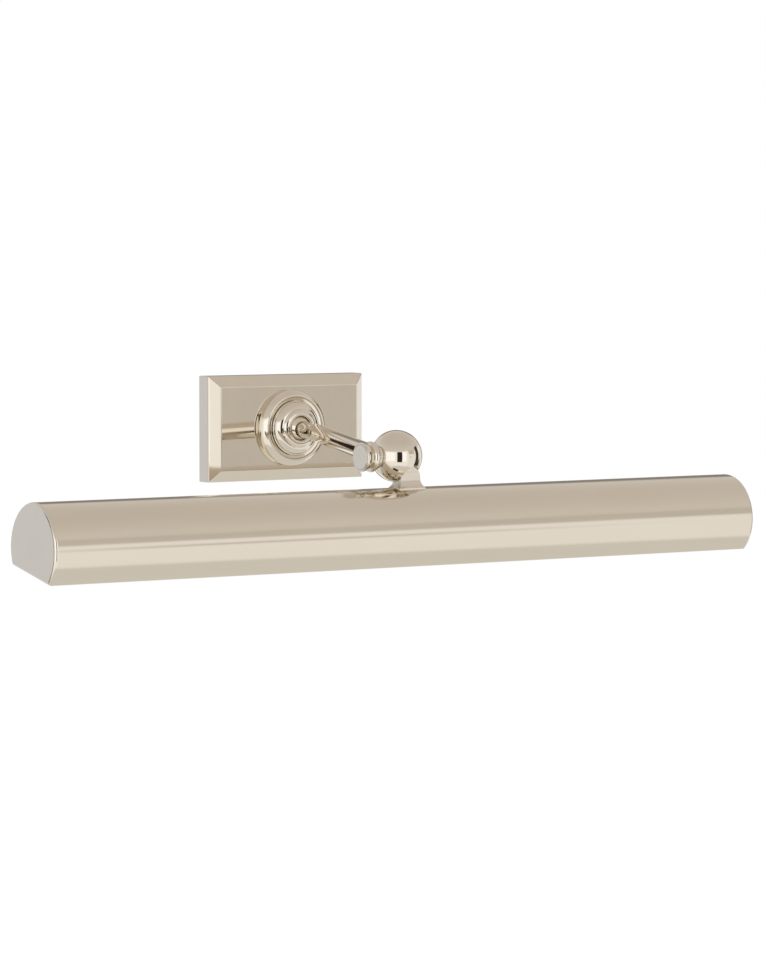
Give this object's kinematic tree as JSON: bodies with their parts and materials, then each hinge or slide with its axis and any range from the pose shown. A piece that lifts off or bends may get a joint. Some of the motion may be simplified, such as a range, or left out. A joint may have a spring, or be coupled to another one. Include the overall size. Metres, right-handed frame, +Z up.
{
  "type": "picture light",
  "caption": "Wall picture light: rectangular backplate, tilting arm with a ball knuckle, and a long half-round shade with tubular lamps.",
  "frame": {"origin": "centre of the backplate on the wall plane, midway between the two wall-box screws", "axes": "+X along the shade, +Z up, the light stands off the wall towards -Y, +Y points into the wall"},
  "size_m": [0.6096, 0.2005, 0.1343],
  "materials": {
    "polished_nickel": "polished nickel plate on brass",
    "satin_nickel": "brushed nickel plate",
    "shade_finish": "polished nickel outside, white enamel inside",
    "zinc_steel": "zinc plate",
    "green_screw": "green passivated",
    "brass": "plain turned or pressed brass",
    "lamp_base_metal": "pressed, dull",
    "cast_socket": "die cast, tumbled",
    "spring_steel": "oiled spring steel",
    "nylon": "natural nylon",
    "terminal_plastic": "moulded",
    "tray_paint": "white enamel",
    "porcelain": "glazed porcelain",
    "lamp_glass": "clear blown glass",
    "filament": "glass foot with tungsten wire",
    "lead_insulation": "extruded insulation"
  },
  "bodies": {
    "wall": {"backplate": "polished_nickel", "mounting_strap": "zinc_steel", "strap_bushing": "brass", "ground_screw": "green_screw", "plate_screws": "zinc_steel", "rosette_ring": "polished_nickel", "rosette_dome": "polished_nickel", "swivel_socket": "cast_socket", "seat_spring": "spring_steel", "ball_seat": "nylon", "swivel_pins": "zinc_steel", "supply_lead": "lead_insulation"},
    "arm": {"swivel_ball": "polished_nickel", "arm_end": "polished_nickel", "arm_tube": "polished_nickel", "arm_lead": "lead_insulation", "knuckle_barrel": "polished_nickel", "barrel_cap": "polished_nickel", "spring_washer": "spring_steel", "friction_washer": "nylon"},
    "shade": {"ball_lead": "lead_insulation", "block_screw": "zinc_steel", "bracket_nuts": "zinc_steel", "bracket_screws": "zinc_steel", "centre_contact_left": "brass", "centre_contact_right": "brass", "end_cap_left": "shade_finish", "end_cap_right": "shade_finish", "filament_left": "filament", "filament_right": "filament", "holder_bracket_left": "zinc_steel", "holder_bracket_right": "zinc_steel", "holder_screws": "zinc_steel", "lamp_base_left": "lamp_base_metal", "lamp_base_right": "lamp_base_metal", "lamp_glass_left": "lamp_glass", "lamp_glass_right": "lamp_glass", "lamp_lead_left": "lead_insulation", "lamp_lead_right": "lead_insulation", "lamp_tray": "tray_paint", "lampholder_left": "porcelain", "lampholder_right": "porcelain", "lead_clips": "nylon", "lug_screws": "zinc_steel", "pivot_stud": "brass", "saddle_lug": "satin_nickel", "screw_shell_left": "brass", "screw_shell_right": "brass", "shade_ball": "polished_nickel", "shade_shell": "shade_finish", "stud_nut": "brass", "terminal_block": "terminal_plastic", "terminal_screws": "zinc_steel", "tray_bosses": "brass", "tray_screws": "zinc_steel", "wire_grommet": "nylon"}
  },
  "joints": [
    {"name": "arm_tilt", "type": "hinge", "parent": "wall", "child": "arm", "pos_m": [0, -0.027, 0], "axis": [1, 0, 0], "range_deg": [-22, 13]},
    {"name": "shade_tilt", "type": "hinge", "parent": "arm", "child": "shade", "pos_m": [0, -0.1637, -0.0152], "axis": [1, 0, 0], "range_deg": [-60, 42]}
  ]
}
